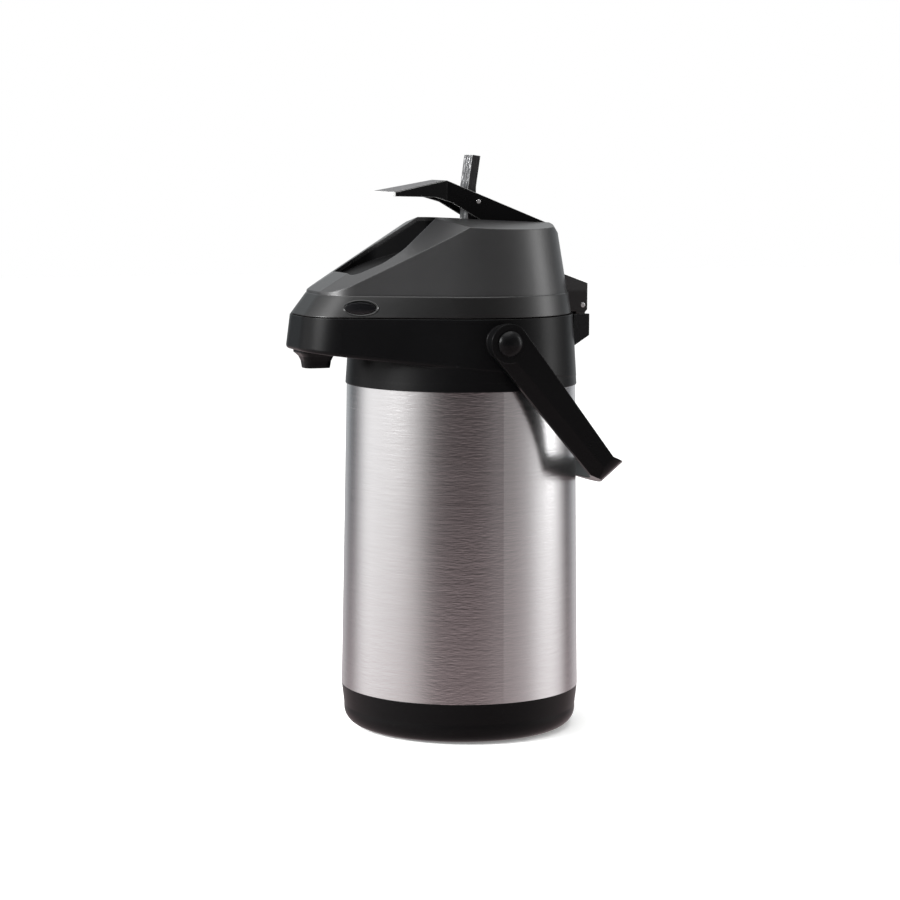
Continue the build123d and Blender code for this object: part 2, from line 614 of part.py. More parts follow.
def carry_handle():
    """Bail drawn lying level towards +Y, then let down to its rest on the body."""
    outer_x, end = ARM_X + HANDLE_THICK, HANDLE_REACH
    ring_plan = bail_plan(outer_x, end, HANDLE_CORNER_R) - bail_plan(ARM_X, end - HANDLE_THICK,
                                                                      HANDLE_CORNER_R - HANDLE_THICK)
    bend, past = end - HANDLE_THICK, end + HANDLE_BOW + 10
    lift = (past - bend) * HANDLE_LIFT
    strip = side_prism([(0, -HANDLE_EYE_R), (bend, -HANDLE_END_HALF), (past, lift - HANDLE_END_HALF),
                        (past, lift + HANDLE_END_HALF), (bend, HANDLE_END_HALF), (0, HANDLE_EYE_R)], FAR / 2)
    bow = plan_prism(ring_plan, -4 * HANDLE_EYE_R, 4 * HANDLE_EYE_R) & strip
    block = Box(FAR, FAR, FAR, align=(Align.CENTER, Align.CENTER, Align.MIN))
    slant = radians(HANDLE_SLANT)
    rise = HANDLE_RIDGE / end
    for side in (-1, 1):
        out = (side * cos(slant), rise * sin(slant), -sin(slant))
        bow -= Plane((side * outer_x, 0, -HANDLE_RIDGE), x_dir=(0, 1, rise), z_dir=out) * block
    for side in (-1, 1):
        span = sorted((side * ARM_X, side * (ARM_X + HANDLE_THICK)))
        bow += bar_x(HANDLE_EYE_R, *span, 0, 0)
        bow -= bar_x(HANDLE_PIN_R + RUNNING, span[0] - 1, span[1] + 1, 0, 0)
    return Pos(0, 0, HANDLE_Z) * Rot(-HANDLE_REST, 0, 0) * bow


# ---------------------------------------------------------------- lid
def hinge_ear():
    """Upper half of the hinge, two cheeks under a sloping top."""
    rear = HINGE_Y + 3.4
    low = SEAM_Z - 0.9
    top_rear = HINGE_Z + 15.2
    front = LID_R - LID_WALL - 9
    step_y = COLLAR_TOP_R + LID_GAP
    block = side_prism([(front, LID_Z), (step_y, LID_Z), (step_y, low), (HINGE_Y + 1.0, low),
                        (rear, low + 2.6), (rear, top_rear),
                        (front + 4, top_rear + 6.6), (front, top_rear + 6.6)], HINGE_HALF)
    gap = side_prism([(LID_R + 0.4, low - 1), (rear + 1, low - 1), (rear + 1, HINGE_Z + 6.5),
                      (LID_R - 3.0, HINGE_Z + 6.5), (LID_R - 3.0, HINGE_Z)], HINGE_HALF - CHEEK)
    back = side_prism([(rear - 1.2, low + 1.5), (rear, low + 1.5), (rear, HINGE_Z + 7),
                       (rear - 1.2, HINGE_Z + 7)], HINGE_HALF - CHEEK + 0.1)
    return block - gap, back


def screw_places():
    across = 0.68 * LID_R
    return [(across, 0.53 * LID_R), (-across, 0.53 * LID_R), (0.0, SCOOP_FRONT_Y - 13.0)]


def button_frames():
    """Place and outward direction of the two buttons, -X side first."""
    middle = Section(SEAM_Z + BUTTON_UP, (BAND_LOW.rear_r + BAND_HIGH.rear_r) / 2,
                     (BAND_LOW.nose_x + BAND_HIGH.nose_x) / 2, (BAND_LOW.nose_y + BAND_HIGH.nose_y) / 2,
                     (BAND_LOW.nose_r + BAND_HIGH.nose_r) / 2)
    point, out = flank_frame(middle, SEAM_Z + BUTTON_UP)
    point += Vector(-out.Y, out.X, 0) * BUTTON_BACK
    return [(Vector(side * point.X, point.Y, point.Z), Vector(side * out.X, out.Y, 0)) for side in (-1, 1)]


def button_plug(frame, grow, start, end, flange=0.0):
    """Oval plug along the button's direction, start and end measured outwards from the wall."""
    point, out = frame
    plane = Plane(point + out * start, x_dir=Vector(-out.Y, out.X, 0), z_dir=out)
    oval = Ellipse(BUTTON_HALF_LENGTH + grow + flange, BUTTON_HALF_HEIGHT + grow + flange * 0.25)
    return extrude(plane * oval, end - start, dir=out)


def lid_cover():
    outer, inner = lid_form(0.0), lid_form(LID_WALL)
    ear, ear_back = hinge_ear()
    cover = outer + (ear - inner)
    shell = cover - inner
    shell -= plan_prism(opening_face(), PUMP_FLOOR_Z, KNEE_Z + 20)
    for x, y in screw_places():
        column = post(4.2, BASE_TOP_Z, KNEE_Z + 5, x, y) & outer
        shell += column - post(1.5, LID_Z, LID_Z + 16, x, y)
    for frame in button_frames():
        shell -= button_plug(frame, BUTTON_GAP, -6, 6)
    shell -= bar_x(HINGE_PIN_R + RUNNING, -FAR / 2, FAR / 2, HINGE_Y, HINGE_Z)
    return shell.solids().sort_by(SortBy.VOLUME)[-1]


def lever_well():
    outer = plan_prism(opening_face(TRAY_WALL), PUMP_FLOOR_Z, KNEE_Z + 20)
    hollow = plan_prism(opening_face(), PUMP_FLOOR_Z, KNEE_Z + 20)
    tray = outer & tray_space(2.0) & lid_form(LID_WALL + 0.05)
    tray -= hollow & tray_space(0.0)
    floor = KNEE_Z - TRAY_DEPTH
    guide = Pos(0, ROD_Y - 1.2, floor) * Box(2 * ROD_HALF + 6, ROD_DEPTH + 11.5, 7,
                                           align=(Align.CENTER, Align.CENTER, Align.MAX))
    tray += guide
    passage = Pos(0, ROD_Y - 1.2, floor) * Box(2 * ROD_HALF + 1.2, ROD_DEPTH + 7.5, 20)
    tray -= passage
    boss_end = SLOT_HALF + 6.5
    for side in (-1, 1):
        boss = bar_x(6.0, *sorted((side * (SLOT_HALF + 0.1), side * boss_end)), PIVOT_Y, PIVOT_Z)
        tray += boss & lid_form(LID_WALL + 0.05)
    tray -= bar_x(LEVER_PIN_R, -boss_end - 1, boss_end + 1, PIVOT_Y, PIVOT_Z)
    return tray


def lid_base():
    plate_z = BASE_Z
    plug = turned([(0, PLUG_Z + 2.5), (FLANGE_R, PLUG_Z + 2.5), (FLANGE_R, plate_z + 1), (PUMP_R, plate_z + 1),
                   (PUMP_R, PUMP_FLOOR_Z), (0, PUMP_FLOOR_Z)])
    plate = head_loft(inset(BAND_LOW, LID_WALL + 2.6, plate_z), inset(BAND_LOW, LID_WALL + 2.6, BASE_TOP_Z))
    plate -= post(PUMP_R, SEAM_Z - 5, SEAM_Z + 10)
    cylinder = ring(PUMP_R + PUMP_WALL, PUMP_R, plate_z, PLATE_TOP_Z + 2.0)
    base = plug + plate + cylinder
    base -= post(5.0, PLUG_Z, PUMP_FLOOR_Z + 1)
    for angle in range(0, 360, 60):
        base -= post(1.5, PLUG_Z, PUMP_FLOOR_Z + 1, 9 * cos(radians(angle)), 9 * sin(radians(angle)))
    for x, y in screw_places():
        base -= post(1.5, plate_z - 1, plate_z + 4, x, y) + post(SCREW_HEAD_R, plate_z - 1, plate_z + 1.5, x, y)
    for frame in button_frames():
        base -= button_plug(frame, BUTTON_GAP, -BUTTON_DEPTH - 3.0, 0, 2.0)
    ear_room = Pos(0, LID_R, SEAM_Z) * Box(2 * HINGE_HALF, 14, 20)
    return base - ear_room


def lid_gasket():
    return ring(FLANGE_R - 0.5, FLANGE_R - 9, PLUG_Z, PLUG_Z + 2.5)


def lid_screws():
    return Compound([post(SCREW_HEAD_R, BASE_Z, BASE_Z + 1.5, x, y) + post(1.5, BASE_Z, BASE_Z + 14, x, y)
                     for x, y in screw_places()])


def air_valve():
    flap = post(12.0, PLUG_Z + 1.2, PLUG_Z + 2.5)
    stem = post(4.9, PLUG_Z + 2.4, PUMP_FLOOR_Z) + post(6.0, PUMP_FLOOR_Z, PUMP_FLOOR_Z + 1.0)
    return flap + stem


def lever_pin():
    end = SLOT_HALF + 6.0
    return bar_x(LEVER_PIN_R, -end, end, PIVOT_Y, PIVOT_Z)


def bellows():
    low, high = PUMP_FLOOR_Z, PLATE_Z
    step = (high - low) / BELLOWS_FOLDS
    outside, inside = [], []
    for fold in range(BELLOWS_FOLDS):
        base = low + fold * step
        outside += [(BELLOWS_R - BELLOWS_FOLD, base), (BELLOWS_R, base + step / 2)]
        inside += [(BELLOWS_R - BELLOWS_FOLD - BELLOWS_WALL, base), (BELLOWS_R - BELLOWS_WALL, base + step / 2)]
    outside.append((BELLOWS_R - BELLOWS_FOLD, high))
    inside.append((BELLOWS_R - BELLOWS_FOLD - BELLOWS_WALL, high))
    return turned(outside + inside[::-1])


def pump_spring():
    return coil(SPRING_R, SPRING_WIRE, PUMP_FLOOR_Z, PLATE_Z, SPRING_TURNS)


def pressure_plate():
    plate = post(PLATE_R, PLATE_Z, PLATE_TOP_Z)
    dish = Pos(0, ROD_Y, PLATE_TOP_Z) * Box(2 * ROD_HALF + 8, ROD_DEPTH + 8, 0.8)
    rim = ring(PLATE_R, PLATE_R - 2.5, PLATE_Z, PLATE_TOP_Z + 1.0)
    return plate + rim - dish


def release_button(frame):
    plug = button_plug(frame, 0, -BUTTON_DEPTH, BUTTON_PROUD + 1.0)
    point, out = frame
    crown_r = 46.0
    crown = Pos(*(point + out * (BUTTON_PROUD - crown_r))) * Sphere(crown_r)
    plug &= crown
    return plug + button_plug(frame, 0, -BUTTON_DEPTH, -BUTTON_DEPTH + 1.6, 2.0)


def button_spring(frame):
    """Short coil behind the button, at its pressed length."""
    point, out = frame
    length = 8.0
    start = point - out * (BUTTON_DEPTH + 3.0 + length)
    spring = coil(BUTTON_SPRING_R, 0.4, 0, length, 6)
    return Plane(start, z_dir=out) * spring


def spring_seats():
    """Posts on the lid's lower plate that back the two button springs."""
    seats = []
    for point, out in button_frames():
        centre = point - out * (BUTTON_DEPTH + 3.0 + 8.0 + 1.5)
        turn = degrees(atan2(out.Y, out.X))
        base_z = BASE_TOP_Z - 0.4
        seat = Pos(centre.X, centre.Y, base_z) * Rot(0, 0, turn) * Box(
            3.0, 12.0, point.Z + 5.0 - base_z, align=(Align.CENTER, Align.CENTER, Align.MIN))
        seats.append(seat)
    return seats


# ---------------------------------------------------------------- lever and rod
def lever():
    solid = side_prism(lever_outline(), LEVER_TIP_HALF + 5)
    solid += bar_x(LEVER_END, -FAR / 4, FAR / 4, PIVOT_Y, PIVOT_Z)
    solid &= plan_prism(lever_plan(0), PIVOT_Z - 40, PIVOT_Z + 60)
    space = side_prism(lever_outline(LEVER_SHEET)[:3] + [
        (PIVOT_Y + LEVER_END + 5, PIVOT_Z - 30), (PIVOT_Y - TIP_OUT, PIVOT_Z - 30)], LEVER_TIP_HALF + 5)
    space &= plan_prism(lever_plan(LEVER_SHEET), PIVOT_Z - 40, PIVOT_Z + 60)
    solid -= space
    solid -= grip_form(GRIP_RECESS, 0.1, 0.1)
    slot = Pos(0, ROD_Y + 1.5, CROSS_Z + 8) * Box(2 * ROD_HALF + 1.6, ROD_DEPTH + 8.5, 24)
    solid -= slot
    solid -= bar_x(CROSS_PIN_R, -FAR / 4, FAR / 4, CROSS_Y, CROSS_Z)
    solid -= bar_x(LEVER_PIN_R + RUNNING, -FAR / 4, FAR / 4, PIVOT_Y, PIVOT_Z)
    return solid.solids().sort_by(SortBy.VOLUME)[-1]


def grip_form(sink, proud, room=0.0):
    """Slab over the lever's front run, from sink under its surface to proud over it."""
    rise = (BEND_UP - TIP_UP) / (TIP_OUT - BEND_OUT)
    margin = GRIP_MARGIN - room
    tip_y, bend_y = PIVOT_Y - TIP_OUT + margin, PIVOT_Y - BEND_OUT - margin
    tip_z = PIVOT_Z + TIP_UP + margin * rise
    bend_z = PIVOT_Z + BEND_UP - margin * rise
    slab = side_prism([(tip_y, tip_z - sink), (bend_y, bend_z - sink), (bend_y, bend_z + proud),
                       (tip_y, tip_z + proud)], LEVER_TIP_HALF + 5)
    return slab & plan_prism(lever_plan(margin), PIVOT_Z - 40, PIVOT_Z + 60)


def lever_grip():
    return grip_form(GRIP_RECESS, GRIP_PROUD)


def cross_pin():
    return bar_x(CROSS_PIN_R, -LEVER_HALF - 0.5, LEVER_HALF + 0.5, CROSS_Y, CROSS_Z)


def rod_outline():
    front, rear = ROD_FRONT_Y, ROD_FRONT_Y + ROD_DEPTH
    lean = tan(radians(ROD_LEAN))
    bend_z, top_z = CROSS_Z + ROD_BEND_UP, CROSS_Z + ROD_TOP_UP
    shift = (top_z - bend_z) * lean
    return [(front, FOOT_Z), (rear, FOOT_Z), (rear, bend_z), (rear + shift, top_z - ROD_DEPTH * lean),
            (front + shift, top_z), (front, bend_z)]


def rod_pin_place():
    lean = tan(radians(ROD_LEAN))
    z = CROSS_Z + ROD_TOP_UP - 5.6
    return 2.6, ROD_FRONT_Y + (z - CROSS_Z - ROD_BEND_UP) * lean, z


def pump_rod():
    rod = side_prism(rod_outline(), ROD_HALF)
    foot_edges = rod.edges().filter_by(Axis.X).sort_by(Axis.Z)[:2]
    rod = fillet(foot_edges, 2.2)
    rod += bar_x(ROD_LUG_R, -ROD_HALF, ROD_HALF, CROSS_Y, CROSS_Z)
    rod -= bar_x(CROSS_PIN_R + RUNNING, -FAR / 4, FAR / 4, CROSS_Y, CROSS_Z)
    x, y, z = rod_pin_place()
    rod -= Pos(x, y, z) * Rot(90 - ROD_LEAN, 0, 0) * Cylinder(1.1, 3 * ROD_DEPTH)
    groove = Pos(x - 0.6, y - 1.4, z - 10.0) * Rot(-ROD_LEAN, 0, 0) * Rot(0, -24, 0) * Box(1.4, 2.2, 7.0)
    return rod - groove


def rod_pin():
    x, y, z = rod_pin_place()
    pin = Pos(0, 0, -ROD_DEPTH / 2) * Cylinder(1.1, ROD_DEPTH + 0.4)
    return Pos(x, y, z) * Rot(90 - ROD_LEAN, 0, 0) * pin


# ---------------------------------------------------------------- all the pieces
def all_parts():
    """Every piece by its node name."""
    parts = {
        "base_cup": base_cup(), "base_pad": base_pad(), "base_screws": base_screws(),
        "liner_support": liner_support(), "outer_shell": outer_shell(), "inner_liner": inner_liner(),
        "shoulder_collar": shoulder_collar(), "neck_gasket": neck_gasket(), "stem_flange": stem_flange(),
        "stem_tube": stem_tube(), "outlet_pipe": outlet_pipe(), "outlet_seal": outlet_seal(),
        "spout_nozzle": spout_nozzle(), "hinge_bracket": hinge_bracket(), "bracket_screws": bracket_screws(),
        "hinge_pin": hinge_pin(), "carry_handle": carry_handle(),
        "lid_cover": lid_cover(), "lever_well": lever_well(), "lid_gasket": lid_gasket(),
        "lid_screws": lid_screws(), "air_valve": air_valve(), "lever_pin": lever_pin(),
        "bellows": bellows(), "pump_spring": pump_spring(), "pressure_plate": pressure_plate(),
        "lever": lever(), "lever_grip": lever_grip(), "cross_pin": cross_pin(),
        "pump_rod": pump_rod(), "rod_pin": rod_pin(),
    }
    base = lid_base()
    for seat in spring_seats():
        base += seat
    parts["lid_base"] = base
    for side, word in ((-1, "left"), (1, "right")):
        frame = button_frames()[(side + 1) // 2]
        parts["handle_knob_" + word] = handle_knob(side)
        parts["release_button_" + word] = release_button(frame)
        parts["button_spring_" + word] = button_spring(frame)
    return parts


if __name__ == "__main__":
    os.makedirs("parts", exist_ok=True)
    for name, shape in all_parts().items():
        export_step(shape, f"parts/{name}.step")
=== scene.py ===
"""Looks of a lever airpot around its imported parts: materials, small fitted pieces, stage and camera."""
import json
import math

import bmesh
import bpy
from bpy.props import FloatProperty, FloatVectorProperty, PointerProperty
from mathutils import Matrix, Vector
from mathutils.bvhtree import BVHTree


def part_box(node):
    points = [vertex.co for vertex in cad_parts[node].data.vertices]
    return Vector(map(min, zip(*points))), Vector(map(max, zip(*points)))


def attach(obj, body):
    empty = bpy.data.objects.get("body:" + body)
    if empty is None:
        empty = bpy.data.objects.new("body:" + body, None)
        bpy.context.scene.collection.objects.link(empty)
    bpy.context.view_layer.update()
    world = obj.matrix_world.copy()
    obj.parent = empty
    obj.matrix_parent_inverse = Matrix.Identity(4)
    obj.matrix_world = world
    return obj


bl_info = {
    "name": "Lever Airpot",
    "version": (1, 0, 0),
    "blender": (4, 5, 0),
    "location": "3D View > Sidebar > Airpot",
    "description": "Materials, fitted pieces and a small studio for a lever airpot",
    "category": "Object",
}

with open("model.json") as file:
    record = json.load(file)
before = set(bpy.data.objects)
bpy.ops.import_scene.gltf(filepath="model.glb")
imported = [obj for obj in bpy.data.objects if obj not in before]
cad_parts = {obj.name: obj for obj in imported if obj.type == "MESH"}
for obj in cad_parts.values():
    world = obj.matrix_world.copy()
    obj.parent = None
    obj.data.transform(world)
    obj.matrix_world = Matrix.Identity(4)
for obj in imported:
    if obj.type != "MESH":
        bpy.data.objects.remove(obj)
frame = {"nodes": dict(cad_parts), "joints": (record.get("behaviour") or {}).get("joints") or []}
NODES = frame["nodes"]
JOINTS = {joint["name"]: joint for joint in frame["joints"]}
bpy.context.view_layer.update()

# ---------------------------------------------------------------- fixed values
# Outputs of a Texture Coordinate node.
GENERATED, NORMAL, OBJECT = 0, 1, 3
# Sockets of a Mix node that mixes colours.
MIX_FACTOR, MIX_FIRST, MIX_SECOND, MIX_RESULT = 0, 6, 7, 2

# Tones of the pieces inside and of the small steel parts.
VESSEL_TONE = (0.66, 0.66, 0.65)
SUPPORT_TONE = (0.035, 0.035, 0.036)
INNER_TONE = (0.03, 0.03, 0.031)
BELLOWS_TONE = (0.30, 0.29, 0.28)
SCREW_TONE = (0.62, 0.62, 0.63)
SPRING_TONE = (0.55, 0.55, 0.55)
PIN_TONE = (0.86, 0.86, 0.86)
RING_EDGE_TONE = (0.06, 0.06, 0.06)
# The pump rod: its sides, the darkest and palest of the painted light on its front face, and the painted
# glints in its nicks.
ROD_TONE = (0.008, 0.008, 0.009)
LIT_FRONT_TONES = ((0.012, 0.012, 0.013), (0.11, 0.11, 0.113))
GLINT_TONE = (0.75, 0.75, 0.76)
# The lever: its edges, worn and lit by a painted highlight, and the darkest and palest of the painted
# highlight on its lip.
LEVER_EDGE_WEAR_AND_HIGHLIGHT_TONE = (0.62, 0.62, 0.61)
LIP_HIGHLIGHT_TONES = ((0.55, 0.55, 0.54), (0.9, 0.9, 0.89))

# Where a change of tone starts and ends: over the crease of the lid's band, where painted shade begins, and
# behind the lever's tip, where the lip's painted highlight begins.
BAND_SHADE_FADE = (-0.001, 0.002)
LIP_HIGHLIGHT_FADE = (0.0016, 0.0024)

# Added pieces: vertices this close are one, and folds over this many degrees stay crisp.
MERGE_DISTANCE = 1e-6
CRISP_ANGLE = 38.0
# The button's ring: its points, where its rays start outside the lid, how deep its rims sink and the
# width of its inner slope.
RING_COUNT = 72
RAY_START = 0.03
RING_SUNK = 0.0004
RING_SLOPE = 0.0001

FLOOR_SIZE = 6.0
FLOOR_GLOW = (1.0, 1.0, 0.99, 1.0)
FLOOR_GLOW_STRENGTH = 0.22
# Tones of the room around the airpot: degrees from the camera's side, red, green and blue.
ROOM_TURN = -21.2
ROOM_TONES = (
    (-180, .78, .79, .80), (-150, .45, .50, .52), (-140, .05, .06, .07), (-124, .22, .23, .24),
    (-108, 1.5, 1.5, 1.5), (-90, 1.25, 1.25, 1.25), (-62, .90, .89, .88), (-44, .62, .61, .60),
    (-30, .10, .097, .096), (-16, .0, .0, .0), (14, .0, .0, .0), (32, .08, .077, .077),
    (50, .30, .29, .29), (70, .50, .49, .49), (84, 1.3, 1.3, 1.3), (102, 1.6, 1.6, 1.6),
    (116, .9, .9, .9), (127, .0, .0, .005), (136, .04, .05, .06), (150, .7, .73, .75),
    (180, .78, .79, .80))
# Strength of the room. Its ramp holds ROOM_TONES divided by this, and ROOM_WHITE comes out as full white.
ROOM_STRENGTH = 2.0
ROOM_WHITE = (.5, .5, .5)
ROOM_LOW_TONE = (.40, .315, .32)
# Lights: name, place, width and height, watts. All of them face AIM.
AIM = (0.0, 0.0, 0.22)
LAMPS = (("Overhead", (0.1, -0.1, 1.7), (1.5, 1.5), 20.0),
         ("Nose side", (0.1, -1.7, 1.0), (0.8, 0.8), 75.0),
         ("Hinge side", (0.35, 1.6, 0.6), (0.4, 1.0), 6.0))
CAMERA_PLACE = (1.680104, -0.652791, 0.405271)
CAMERA_TURN, CAMERA_PITCH, CAMERA_ROLL = 69.0, 6.741, 0.291
SENSOR_WIDTH = 36.0


# ---------------------------------------------------------------- sizes and colours
def colour(name, description, default):
    """A colour that a user may change."""
    return FloatVectorProperty(name=name, description=description, default=default, subtype="COLOR", size=3,
                               min=0.0, max=1.0)


def length(name, description, default):
    """A length in metres that a user may change."""
    return FloatProperty(name=name, description=description, default=default, unit="LENGTH", min=0.0,
                         precision=5)


class AirpotFinish(bpy.types.PropertyGroup):
    """Colours of the airpot's finishes."""
    steel: colour("Steel", "Brushed steel of the body", (0.60, 0.595, 0.60))
    graphite: colour("Graphite", "Satin moulding of the lid", (0.016, 0.016, 0.0165))
    black: colour("Black", "Satin black of the collar, base and handle", (0.0022, 0.0022, 0.0024))
    gloss: colour("Gloss", "Glossy black of the buttons and the hinge bracket", (0.004, 0.004, 0.0045))
    grip: colour("Grip", "Grained pad on the lever", (0.045, 0.043, 0.045))
    rubber: colour("Rubber", "Base pad", (0.020, 0.020, 0.020))
    silicone: colour("Silicone", "Seals, bellows and valve", (0.52, 0.50, 0.47))
    natural: colour("Natural", "Stem, flange and outlet pipe", (0.74, 0.73, 0.69))


class AirpotSize(bpy.types.PropertyGroup):
    """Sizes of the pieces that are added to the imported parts."""
    button_length: length("Button length", "Half the length of a release button's hole", 0.0110)
    button_height: length("Button height", "Half the height of a release button's hole", 0.0045)
    bezel_width: length("Bezel width", "Width of the ring around a release button", 0.0011)
    bezel_proud: length("Bezel height", "How far the ring stands over the lid", 0.0005)
    # The lid's band under this crease is darkened by painted shade.
    band_top: length("Band height", "Height of the crease over the lid's darker band", 0.3031)
    edge: length("Edge", "Radius of the mouldings' softened edges", 0.0009)


class AirpotStage(bpy.types.PropertyGroup):
    """Studio around the airpot."""
    lens: FloatProperty(name="Lens", description="Focal length of the camera", default=104.0,
                        unit="CAMERA", min=10.0)
    floor: colour("Floor", "Plain floor", (0.93, 0.93, 0.925))
    fill: FloatProperty(name="Fill", description="Strength of the light all round", default=1.0, min=0.0)


# ---------------------------------------------------------------- shader maths
class Socket:
    """An output of a node tree that can be added to, multiplied and so on."""

    def __init__(self, tree, output):
        self.tree, self.output = tree, output

    def math(self, operation, *others, clamp=False):
        """Result of a Math node fed with this output and the others."""
        node = self.tree.nodes.new("ShaderNodeMath")
        node.operation = operation
        node.use_clamp = clamp
        for slot, value in zip(node.inputs, (self,) + others):
            feed(self.tree, slot, value)
        return Socket(self.tree, node.outputs[0])

    def __add__(self, other):
        return self.math("ADD", other)

    def __sub__(self, other):
        return self.math("SUBTRACT", other)

    def __mul__(self, other):
        return self.math("MULTIPLY", other)

    def __truediv__(self, other):
        return self.math("DIVIDE", other)

    def __radd__(self, other):
        return self.math("ADD", other)

    def __rsub__(self, other):
        return self.math("MULTIPLY", -1.0).math("ADD", other)

    def clamped(self):
        """Kept between 0 and 1."""
        return self.math("ADD", 0.0, clamp=True)

    def step(self, low, high):
        """0 under low, 1 over high and smooth between."""
        return Shader(self.tree).node("ShaderNodeMapRange", {"interpolation_type": "SMOOTHSTEP"},
                                      Value=self, From_Min=low, From_Max=high)


def feed(tree, slot, value):
    """Puts a value or a link into a socket."""
    if isinstance(value, Socket):
        tree.links.new(value.output, slot)
    elif value is not None:
        slot.default_value = value


class Shader:
    """Node tree of one material or world."""

    def __init__(self, tree):
        self.tree = tree

    def node(self, kind, settings=None, out=0, **inputs):
        """New node with its settings set first, then its sockets; gives back one of its outputs."""
        node = self.tree.nodes.new(kind)
        for name, value in (settings or {}).items():
            if name == "stops":
                ramp = node.color_ramp
                ramp.interpolation = "B_SPLINE"
                while len(ramp.elements) < len(value):
                    ramp.elements.new(0.5)
                for element, (place, tone) in zip(ramp.elements, value):
                    element.position = place
                    element.color = (*tone, 1.0)
            else:
                setattr(node, name, value)
        for name, value in inputs.items():
            feed(self.tree, node.inputs[name.replace("_", " ") if name not in node.inputs else name], value)
        return Socket(self.tree, node.outputs[out])

    def place(self):
        """The piece's own coordinates."""
        return self.node("ShaderNodeTexCoord", out=OBJECT)

    def stretched(self, scale):
        """The piece's own coordinates, scaled for a grain."""
        return self.node("ShaderNodeMapping", Vector=self.place(), Scale=Vector(scale))

    def noise(self, vector, scale, detail=3.0, roughness=0.5):
        """Noise from 0 to 1."""
        return self.node("ShaderNodeTexNoise", Vector=vector, Scale=scale, Detail=detail, Roughness=roughness)

    def parts(self, vector):
        """A vector's three numbers."""
        node = self.tree.nodes.new("ShaderNodeSeparateXYZ")
        self.tree.links.new(vector.output, node.inputs[0])
        return [Socket(self.tree, output) for output in node.outputs]

    def mix(self, factor, first, second):
        """Colour between two others."""
        node = self.tree.nodes.new("ShaderNodeMix")
        node.data_type = "RGBA"
        for slot, value in ((MIX_FACTOR, factor), (MIX_FIRST, first), (MIX_SECOND, second)):
            feed(self.tree, node.inputs[slot], value)
        return Socket(self.tree, node.outputs[MIX_RESULT])

    def edges(self, radius, gain=9.0):
        """Softened normal, and a mask of the edges, where it leaves the usual normal."""
        soft = self.node("ShaderNodeBevel", {"samples": 6}, Radius=radius)
        face = self.node("ShaderNodeNewGeometry", out=1)
        dot = self.node("ShaderNodeVectorMath", {"operation": "DOT_PRODUCT"}, out=1)
        node = dot.output.node
        self.tree.links.new(soft.output, node.inputs[0])
        self.tree.links.new(face.output, node.inputs[1])
        return soft, ((1.0 - dot) * gain).clamped()

    def bump(self, height, distance, strength=1.0, normal=None):
        """Normal from a height."""
        return self.node("ShaderNodeBump", Height=height, Distance=distance, Strength=strength, Normal=normal)


def rgb(value):
    """A colour with its alpha."""
    return (*value, 1.0)


def shade(base, factor):
    """A darker or lighter tone of a colour, with its alpha."""
    return rgb([min(1.0, channel * factor) for channel in base])


def new_material(name):
    """Empty material with its shader, and the Principled node to feed."""
    material = bpy.data.materials.new(name)
    material.use_nodes = True
    tree = material.node_tree
    return material, Shader(tree), tree.nodes["Principled BSDF"]


def settle(material, shader, principled, links, **fixed):
    """Links what varies and sets what is even all over."""
    for name, value in links.items():
        feed(shader.tree, principled.inputs[name], value)
    for name, value in fixed.items():
        principled.inputs[name.replace("_", " ")].default_value = value
    return material


def finish():
    """The colours in use."""
    return bpy.context.scene.airpot_finish


def moulding(name, base, rough, grain_depth=0.00002, grain=1500.0, lift=0.2, edge=None, coat=0.0,
             coat_rough=0.2, edge_tone=None, cloud=0.12, sheen=0.1):
    """Moulded plastic: fine grain, faint clouds in its sheen and lighter, smoother edges."""
    radius = bpy.context.scene.airpot_size.edge if edge is None else edge
    material, s, principled = new_material(name)
    place = s.place()
    fine = s.noise(place, grain, 2.0, 0.6)
    clouds = s.noise(place, 22.0, 3.0, 0.55)
    scuffs = s.noise(s.stretched((90.0, 90.0, 900.0)), 1.0, 4.0, 0.7)
    soft, edge_mask = s.edges(radius)
    tone = s.mix((clouds - 0.35) * 0.8, shade(base, 0.86), shade(base, 1.16))
    pale = edge_tone or [min(1.0, c * 3.2 + 0.03) for c in base]
    tone = s.mix(edge_mask * lift, tone, rgb(pale))
    roughness = rough + (clouds - 0.5) * cloud + (scuffs - 0.5) * 0.06 - edge_mask * 0.06
    normal = s.bump(fine, grain_depth, 0.6, soft)
    return settle(material, s, principled,
                  {"Base Color": tone, "Roughness": roughness.clamped(), "Normal": normal},
                  Coat_Weight=coat, Coat_Roughness=coat_rough, IOR=1.48, Specular_IOR_Level=sheen)


# ---------------------------------------------------------------- materials
def brushed_steel(name, base):
    """Steel brushed around its axis, with fine lines, wavy streaks and a few longer scratches."""
    material, s, principled = new_material(name)
    lines = s.noise(s.stretched((30.0, 30.0, 5200.0)), 1.0, 3.0, 0.65)
    hair = s.noise(s.stretched((9.0, 9.0, 1900.0)), 1.0, 5.0, 0.7)
    waves = s.noise(s.stretched((170.0, 170.0, 900.0)), 1.0, 2.5, 0.55)
    ripple = s.noise(s.stretched((60.0, 60.0, 330.0)), 1.0, 2.0, 0.5)
    patch = s.noise(s.place(), 9.0, 2.0, 0.5).step(0.38, 0.62)
    tone = s.mix(lines, shade(base, 0.86), shade(base, 1.12))
    roughness = 0.235 + (hair - 0.5) * 0.16 + (lines - 0.5) * 0.08
    height = waves * (0.35 + patch * 0.65) + ripple * 0.55
    normal = s.bump(height, 0.00008, 1.0, s.bump(lines, 0.000012, 1.0))
    return settle(material, s, principled,
                  {"Base Color": tone, "Roughness": roughness.clamped(), "Normal": normal}, Metallic=1.0)


def drawn_steel(name, base, rough):
    """Plain steel of pins, screws and springs."""
    material, s, principled = new_material(name)
    turning = s.noise(s.stretched((1400.0, 500.0, 500.0)), 1.0, 3.0, 0.6)
    soft, _ = s.edges(0.0003)
    tone = s.mix(turning, shade(base, 0.82), rgb(base))
    return settle(material, s, principled,
                  {"Base Color": tone, "Normal": soft,
                   "Roughness": (rough + (turning - 0.5) * 0.2).clamped()}, Metallic=1.0)


